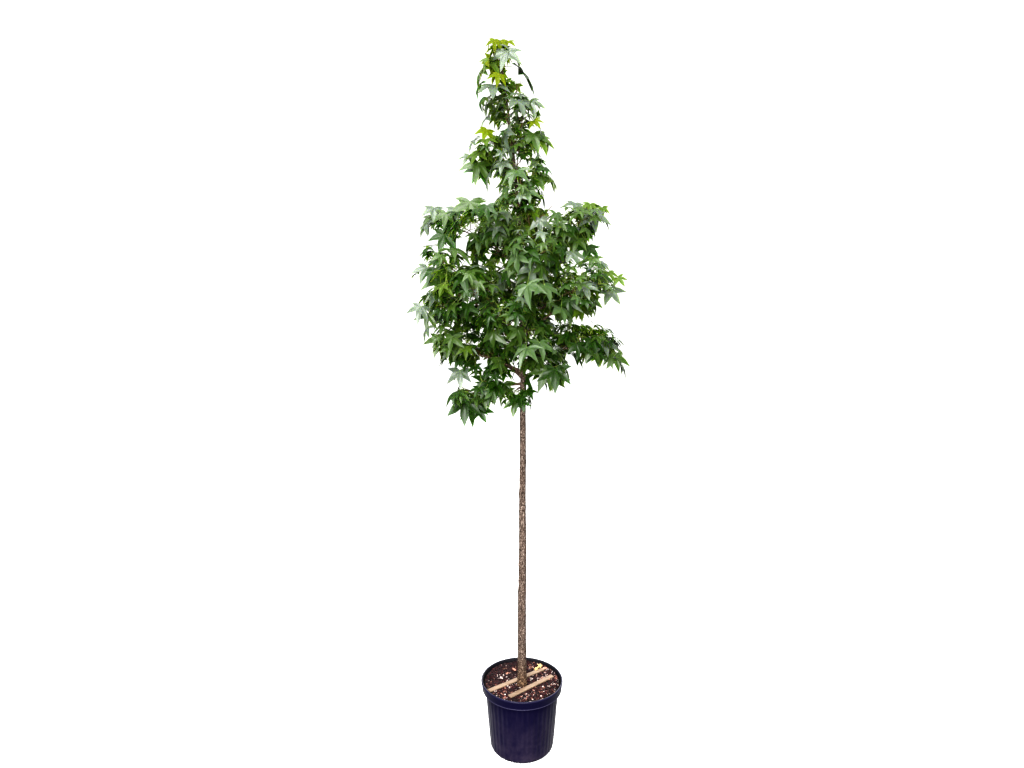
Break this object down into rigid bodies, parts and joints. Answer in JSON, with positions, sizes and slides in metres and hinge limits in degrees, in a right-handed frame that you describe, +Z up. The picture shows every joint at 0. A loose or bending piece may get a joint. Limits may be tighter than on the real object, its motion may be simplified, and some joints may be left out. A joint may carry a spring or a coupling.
{
  "type": "potted sapling tree",
  "caption": "Young sweetgum tree with a single straight stem and a narrow leafy crown, growing in a round plastic nursery pot filled with bark potting mix.",
  "frame": {"origin": "centre of the pot's flat underside, at the level of the ground that it stands on", "axes": "+Z up along the stem, +Y from the tree's front to its back, +X to the right as seen from the front"},
  "size_m": [0.9435, 0.8336, 2.9825],
  "materials": {
    "pot": "satin dark navy polypropylene",
    "mix": "damp dark red-brown bark chips",
    "lath": "bare sawn pine",
    "bark": "grey-brown young bark with fine corky flecks",
    "leaf": "soft green leaves, slightly glossy above"
  },
  "bodies": {
    "root": {"bough_high_back_right": "bark", "bough_high_front": "bark", "bough_high_left": "bark", "bough_low_back": "bark", "bough_low_back_left": "bark", "bough_low_back_right": "bark", "bough_low_front": "bark", "bough_low_left": "bark", "bough_low_right": "bark", "bough_middle_back_left": "bark", "bough_middle_back_right": "bark", "bough_middle_front_left": "bark", "bough_middle_front_right": "bark", "bough_middle_left": "bark", "bough_middle_right": "bark", "bough_top_front_left": "bark", "bough_top_left": "bark", "bough_top_right": "bark", "foliage_high_back_left": "leaf", "foliage_high_back_right": "leaf", "foliage_high_front": "leaf", "foliage_high_left": "leaf", "foliage_leader_tip": "leaf", "foliage_low_back": "leaf", "foliage_low_back_left": "leaf", "foliage_low_back_right": "leaf", "foliage_low_front": "leaf", "foliage_low_left": "leaf", "foliage_low_right": "leaf", "foliage_lowest_front_right": "leaf", "foliage_lowest_left": "leaf", "foliage_lowest_spur": "leaf", "foliage_middle_back_left": "leaf", "foliage_middle_back_right": "leaf", "foliage_middle_front_left": "leaf", "foliage_middle_front_right": "leaf", "foliage_middle_left": "leaf", "foliage_middle_right": "leaf", "foliage_spire_back": "leaf", "foliage_spire_front": "leaf", "foliage_spire_high_back": "leaf", "foliage_spire_high_front": "leaf", "foliage_spire_high_left": "leaf", "foliage_spire_high_right": "leaf", "foliage_spire_left": "leaf", "foliage_spire_right": "leaf", "foliage_spire_top_right": "leaf", "foliage_top_back": "leaf", "foliage_top_front_left": "leaf", "foliage_top_front_right": "leaf", "foliage_top_left": "leaf", "foliage_top_right": "leaf", "lath_back": "lath", "lath_front": "lath", "pot": "pot", "potting_mix": "mix", "trunk": "bark"}
  },
  "joints": []
}
